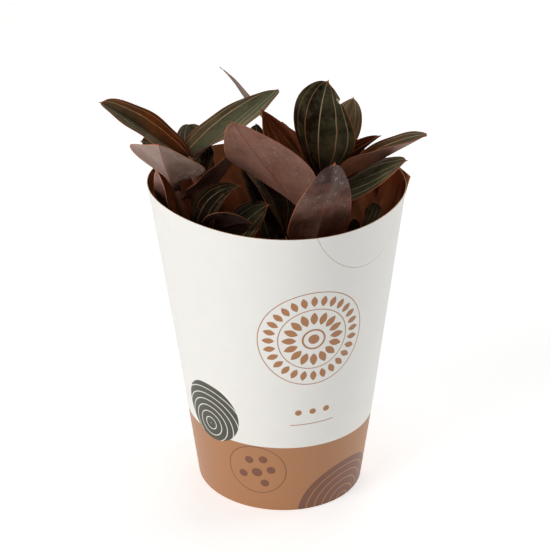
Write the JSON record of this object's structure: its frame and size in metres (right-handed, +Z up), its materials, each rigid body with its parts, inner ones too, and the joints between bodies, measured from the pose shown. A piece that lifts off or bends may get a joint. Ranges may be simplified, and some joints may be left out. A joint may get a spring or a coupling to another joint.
{
  "type": "potted jewel orchid in a card sleeve",
  "caption": "Jewel orchid with dark veined leaves on fleshy stems, rooted in a grower's pot that stands inside a tapered card sleeve.",
  "frame": {"origin": "centre of the underside of the grower's pot, on the surface it stands on", "axes": "+Z up along the pot, -Y towards the front of the sleeve, +X towards the sleeve's seam"},
  "size_m": [0.2028, 0.158, 0.2723],
  "materials": {
    "card": "satin white coated card, copper lining, copper foot band",
    "pot_plastic": "thin moulded plastic",
    "potting_mix": "loose bark and coir, matt",
    "foliage": "velvety dark olive leaves with coppery veins, mauve undersides"
  },
  "bodies": {
    "root": {"card_sleeve": "card", "grower_pot": "pot_plastic", "substrate": "potting_mix", "shoot_left": "foliage", "shoot_centre": "foliage", "shoot_back": "foliage", "shoot_front": "foliage", "shoot_inner": "foliage", "shoot_side": "foliage", "shoot_low": "foliage", "shoot_right": "foliage", "shoot_rear_left": "foliage", "shoot_rear_right": "foliage"}
  },
  "joints": []
}
